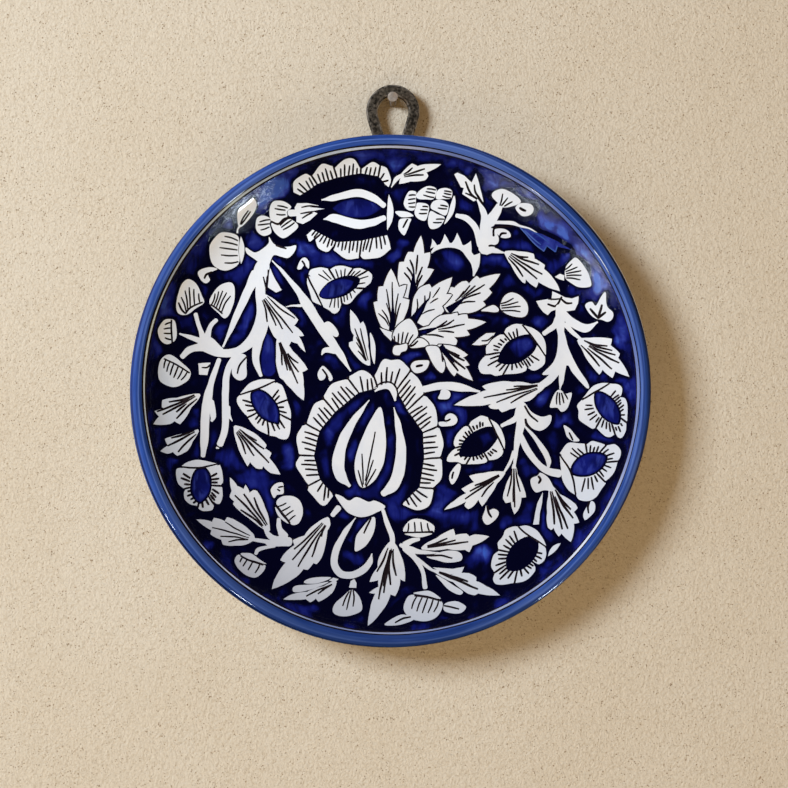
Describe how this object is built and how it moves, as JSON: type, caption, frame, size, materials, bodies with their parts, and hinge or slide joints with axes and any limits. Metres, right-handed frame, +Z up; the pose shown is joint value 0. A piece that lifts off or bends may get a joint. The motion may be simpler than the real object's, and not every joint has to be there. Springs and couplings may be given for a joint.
{
  "type": "hanging ceramic wall plate",
  "caption": "Round glazed ceramic wall plate with a raised rolled lip and foot ring, hung by an iron split-leg eye from a nail in the wall.",
  "frame": {"origin": "middle of the nail where it enters the wall, which is the plane Y = 0", "axes": "+Z up, -Y out of the wall towards the viewer, +X to the viewer's right; the plate's front faces -Y"},
  "size_m": [0.254, 0.0312, 0.2776],
  "materials": {
    "painted_glaze": "clear gloss glaze over cobalt ground with white flowers and dark brush lines; blue lip, white back, bare clay foot",
    "forged_iron": "hammered dark brown forge scale, worn lighter along the edges",
    "nail_steel": "dull grey-brown oxidised steel"
  },
  "bodies": {
    "root": {"plate": "painted_glaze", "hanger": "forged_iron", "wall_nail": "nail_steel"}
  },
  "joints": []
}
